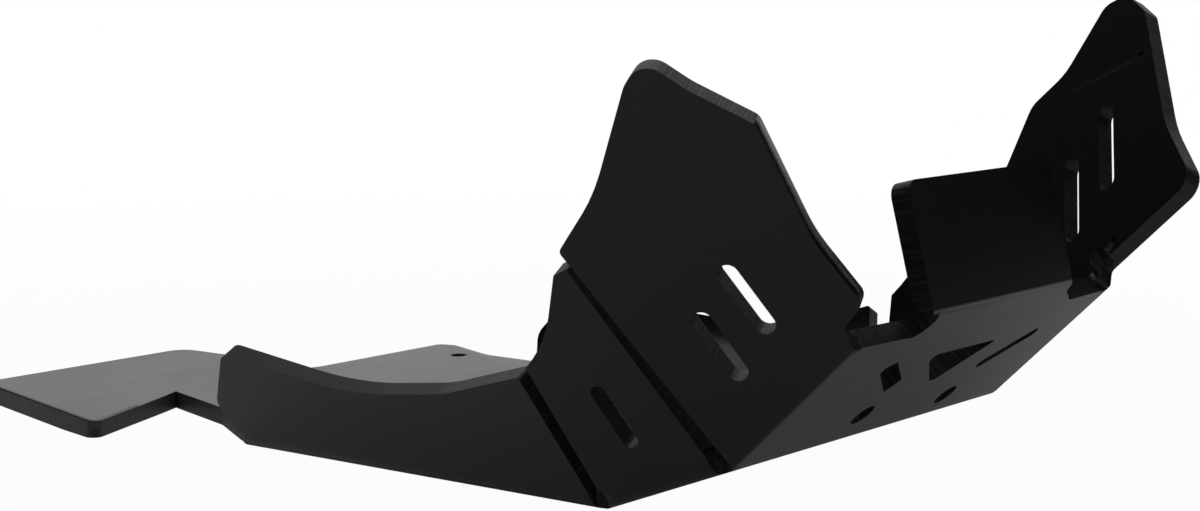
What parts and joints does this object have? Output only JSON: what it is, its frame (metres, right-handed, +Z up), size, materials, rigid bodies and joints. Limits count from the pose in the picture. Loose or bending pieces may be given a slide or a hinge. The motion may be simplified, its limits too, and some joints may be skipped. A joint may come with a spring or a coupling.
{
  "type": "motorcycle skid plate",
  "caption": "Folded plastic sheet that shields the underside and front of an off-road motorcycle's engine, with side walls, slotted wings and a rear guard.",
  "frame": {"origin": "centre of the bounding box in X and Y, on the underside of the flat base", "axes": "+X to the front of the bike, +Y to its left, +Z up; the flat base lies on Z = 0"},
  "size_m": [0.517, 0.3341, 0.1948],
  "materials": {
    "sheet": "satin"
  },
  "bodies": {
    "root": {"skid_plate": "sheet"}
  },
  "joints": []
}
